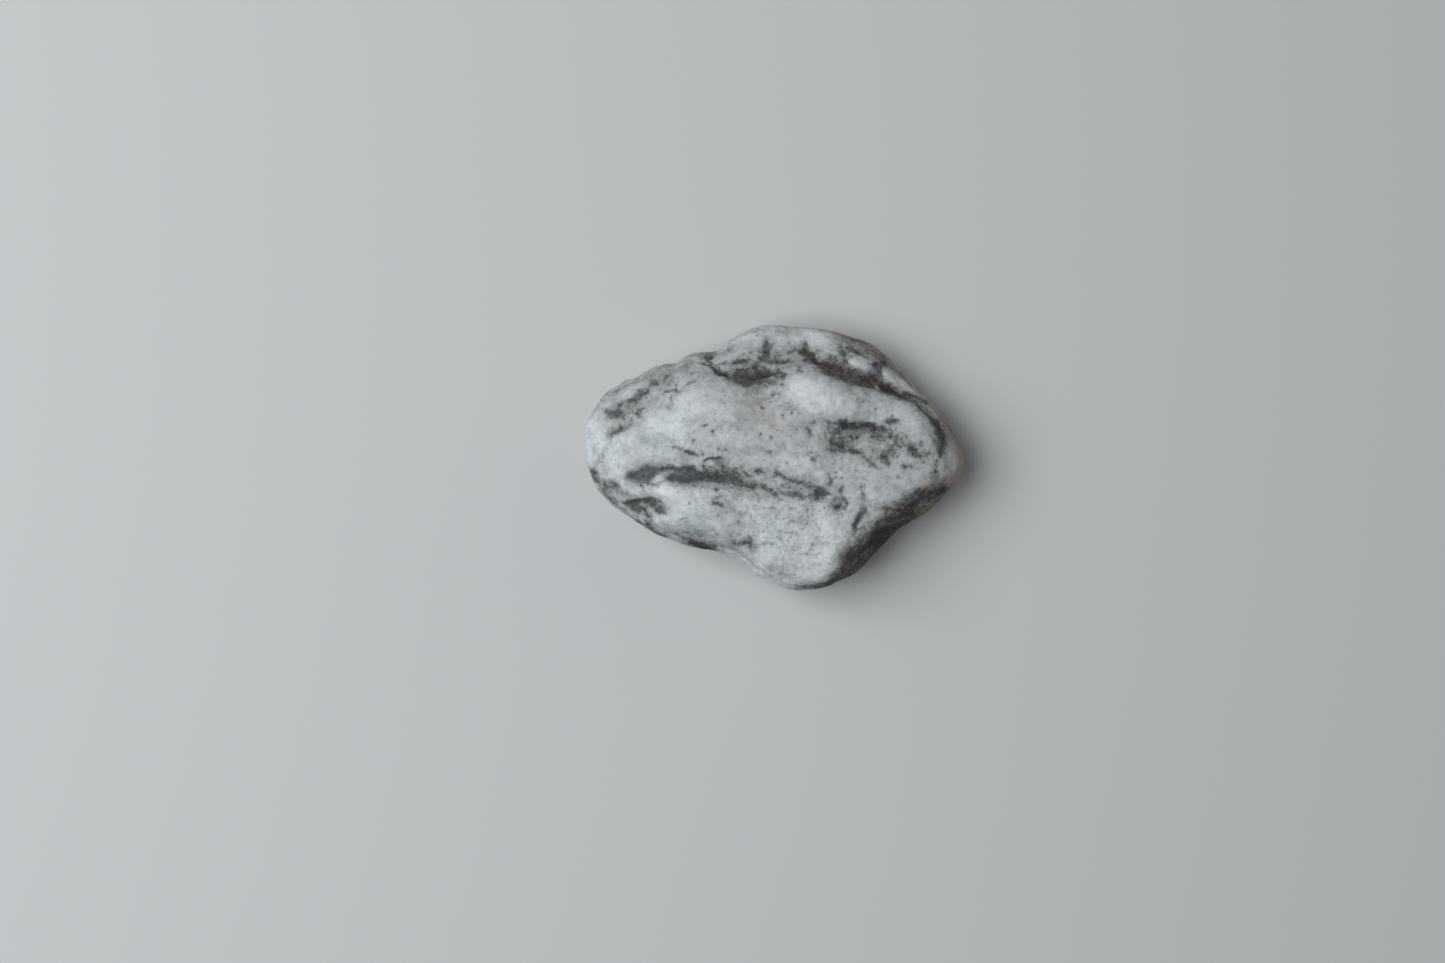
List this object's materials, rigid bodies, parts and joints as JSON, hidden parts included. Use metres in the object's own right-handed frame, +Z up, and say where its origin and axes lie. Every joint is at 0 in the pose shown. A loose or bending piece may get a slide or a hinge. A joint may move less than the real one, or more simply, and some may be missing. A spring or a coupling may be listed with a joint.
{
  "type": "river rock",
  "caption": "Flattened, water-worn river rock of white marble with dark mineral bands, lozenge-shaped from above, resting on its worn underside.",
  "frame": {"origin": "on the ground, under the middle of the stone's box", "axes": "+X along the length towards the pointed end, +Y across towards the side with the lower rib, +Z up from the worn underside"},
  "size_m": [0.06, 0.042, 0.019],
  "materials": {
    "marble": "matt, water-worn, slightly translucent white marble with dark grey to green-grey mineral layers"
  },
  "bodies": {
    "root": {"river_rock": "marble"}
  },
  "joints": []
}
